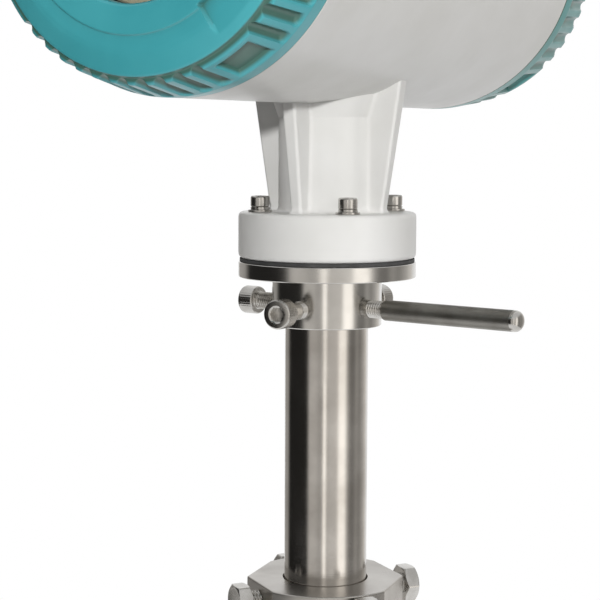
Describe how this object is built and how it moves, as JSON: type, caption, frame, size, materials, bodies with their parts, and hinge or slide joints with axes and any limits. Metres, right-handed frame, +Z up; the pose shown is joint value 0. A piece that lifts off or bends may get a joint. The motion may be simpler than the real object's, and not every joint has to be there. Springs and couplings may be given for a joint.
{
  "type": "insertion electromagnetic flow meter",
  "caption": "Flow meter: a steel probe that slides through a threaded seat, under a finned cast housing with a display window, ribbed screw covers and cable glands.",
  "frame": {"origin": "middle of the seat's sealing face, on the stem's axis, where the process thread starts", "axes": "+Z up along the stem towards the housing; the display faces -Y, the handle points along +X and the cable glands along -X"},
  "size_m": [0.2025, 0.2958, 0.5782],
  "materials": {
    "seat_steel": "turned",
    "ring_steel": "turned",
    "stem_steel": "finely turned, bright",
    "fastener_steel": "bright",
    "handle_steel": "brushed",
    "housing_paint": "light grey gloss paint on a casting",
    "cover_paint": "blue-green gloss paint on a casting",
    "inner_aluminium": "satin",
    "seal_rubber": "satin",
    "gasket_rubber": "matte",
    "seal_fibre": "matte",
    "packing": "matte",
    "tip_plastic": "matte",
    "electrode_metal": "polished",
    "core_iron": "plain",
    "coil_copper": "varnished wire",
    "lead_sheath": "matte",
    "window": "clear",
    "board": "satin",
    "lcd_face": "gloss",
    "panel_plastic": "satin",
    "key_plastic": "satin",
    "dark_plastic": "matte",
    "gland_metal": "nickel plated"
  },
  "bodies": {
    "root": {"seat_body": "seat_steel", "seal_washer": "seal_fibre", "packing_rings": "packing", "packing_follower": "seat_steel"},
    "lock_ring": {"lock_ring": "ring_steel"},
    "lock_bolt_1": {"lock_bolt_1": "fastener_steel"},
    "lock_bolt_2": {"lock_bolt_2": "fastener_steel"},
    "lock_bolt_3": {"lock_bolt_3": "fastener_steel"},
    "lock_bolt_4": {"lock_bolt_4": "fastener_steel"},
    "probe": {"stem_tube": "stem_steel", "sensor_tip": "tip_plastic", "electrodes": "electrode_metal", "coil_core": "core_iron", "coil": "coil_copper", "lead_bundle": "lead_sheath"},
    "head": {"collar": "stem_steel", "handle": "handle_steel", "steel_flange": "stem_steel", "gasket": "gasket_rubber", "housing": "housing_paint", "flange_screws": "fastener_steel", "spring_washers": "fastener_steel", "flat_washers": "fastener_steel", "chassis": "inner_aluminium", "power_board": "board", "main_board": "board", "display_board": "board", "lcd": "lcd_face", "display_panel": "panel_plastic", "panel_screws": "fastener_steel", "key_switches": "dark_plastic", "terminal_block": "dark_plastic", "terminal_screws": "fastener_steel", "gland_body_1": "gland_metal", "gland_body_2": "gland_metal", "gland_seal_1": "seal_rubber", "gland_seal_2": "seal_rubber"},
    "clamp_screw_1": {"clamp_screw_1": "fastener_steel"},
    "clamp_screw_2": {"clamp_screw_2": "fastener_steel"},
    "clamp_screw_3": {"clamp_screw_3": "fastener_steel"},
    "front_cover_thread": {"front_seal_ring": "seal_rubber"},
    "front_cover": {"front_cover": "cover_paint", "window_glass": "window", "window_seal": "seal_rubber", "window_ring": "inner_aluminium"},
    "rear_cover_thread": {"rear_seal_ring": "seal_rubber"},
    "rear_cover": {"rear_cover": "cover_paint"},
    "key_1": {"key_1": "key_plastic"},
    "key_2": {"key_2": "key_plastic"},
    "key_3": {"key_3": "key_plastic"},
    "key_4": {"key_4": "key_plastic"},
    "gland_nut_1": {"gland_nut_1": "gland_metal"},
    "gland_nut_2": {"gland_nut_2": "gland_metal"}
  },
  "joints": [
    {"name": "lock_ring_turn", "type": "hinge", "parent": "root", "child": "lock_ring", "pos_m": [0, 0, 0.039], "axis": [0, 0, 1], "range_deg": [-180, 180]},
    {"name": "lock_bolt_1_out", "type": "slide", "parent": "lock_ring", "child": "lock_bolt_1", "axis": [-0.5878, -0.809, 0], "range_m": [0, 0.004]},
    {"name": "lock_bolt_2_out", "type": "slide", "parent": "lock_ring", "child": "lock_bolt_2", "axis": [0.809, -0.5878, 0], "range_m": [0, 0.004]},
    {"name": "lock_bolt_3_out", "type": "slide", "parent": "lock_ring", "child": "lock_bolt_3", "axis": [0.5878, 0.809, 0], "range_m": [0, 0.004]},
    {"name": "lock_bolt_4_out", "type": "slide", "parent": "lock_ring", "child": "lock_bolt_4", "axis": [-0.809, 0.5878, 0], "range_m": [0, 0.004]},
    {"name": "probe_slide", "type": "slide", "parent": "lock_ring", "child": "probe", "axis": [0, 0, 1], "range_m": [-0.112, 0.1]},
    {"name": "head_turn", "type": "hinge", "parent": "probe", "child": "head", "pos_m": [0, 0, 0.1855], "axis": [0, 0, 1], "range_deg": [-170, 170]},
    {"name": "clamp_screw_1_out", "type": "slide", "parent": "head", "child": "clamp_screw_1", "axis": [0.0175, -0.9998, 0], "range_m": [0, 0.003]},
    {"name": "clamp_screw_2_out", "type": "slide", "parent": "head", "child": "clamp_screw_2", "axis": [-0.9925, 0.1219, 0], "range_m": [0, 0.003]},
    {"name": "clamp_screw_3_out", "type": "slide", "parent": "head", "child": "clamp_screw_3", "axis": [0.1045, 0.9945, 0], "range_m": [0, 0.003]},
    {"name": "front_cover_travel", "type": "slide", "parent": "head", "child": "front_cover_thread", "axis": [0, -1, 0], "range_m": [0, 0.0121]},
    {"name": "front_cover_turn", "type": "hinge", "parent": "front_cover_thread", "child": "front_cover", "pos_m": [0, -0.119, 0.3509], "axis": [0, -1, 0], "range_deg": [0, 2160]},
    {"name": "rear_cover_travel", "type": "slide", "parent": "head", "child": "rear_cover_thread", "axis": [0, 1, 0], "range_m": [0, 0.0121]},
    {"name": "rear_cover_turn", "type": "hinge", "parent": "rear_cover_thread", "child": "rear_cover", "pos_m": [0, 0.108, 0.3509], "axis": [0, 1, 0], "range_deg": [0, 2160]},
    {"name": "key_1_press", "type": "slide", "parent": "head", "child": "key_1", "axis": [0, 1, 0], "range_m": [0, 0.0008], "stiffness_N_per_m": 1200, "springref_m": -0.0004},
    {"name": "key_2_press", "type": "slide", "parent": "head", "child": "key_2", "axis": [0, 1, 0], "range_m": [0, 0.0008], "stiffness_N_per_m": 1200, "springref_m": -0.0004},
    {"name": "key_3_press", "type": "slide", "parent": "head", "child": "key_3", "axis": [0, 1, 0], "range_m": [0, 0.0008], "stiffness_N_per_m": 1200, "springref_m": -0.0004},
    {"name": "key_4_press", "type": "slide", "parent": "head", "child": "key_4", "axis": [0, 1, 0], "range_m": [0, 0.0008], "stiffness_N_per_m": 1200, "springref_m": -0.0004},
    {"name": "gland_nut_1_turn", "type": "hinge", "parent": "head", "child": "gland_nut_1", "pos_m": [-0.09, 0.046, 0.3509], "axis": [-1, 0, 0], "range_deg": [0, 1080]},
    {"name": "gland_nut_2_turn", "type": "hinge", "parent": "head", "child": "gland_nut_2", "pos_m": [-0.09, 0.078, 0.3509], "axis": [-1, 0, 0], "range_deg": [0, 1080]}
  ],
  "couplings": [
    {"joint": "front_cover_travel", "follows": "front_cover_turn", "m_per_rad": 0.00031831},
    {"joint": "rear_cover_travel", "follows": "rear_cover_turn", "m_per_rad": 0.00031831}
  ]
}
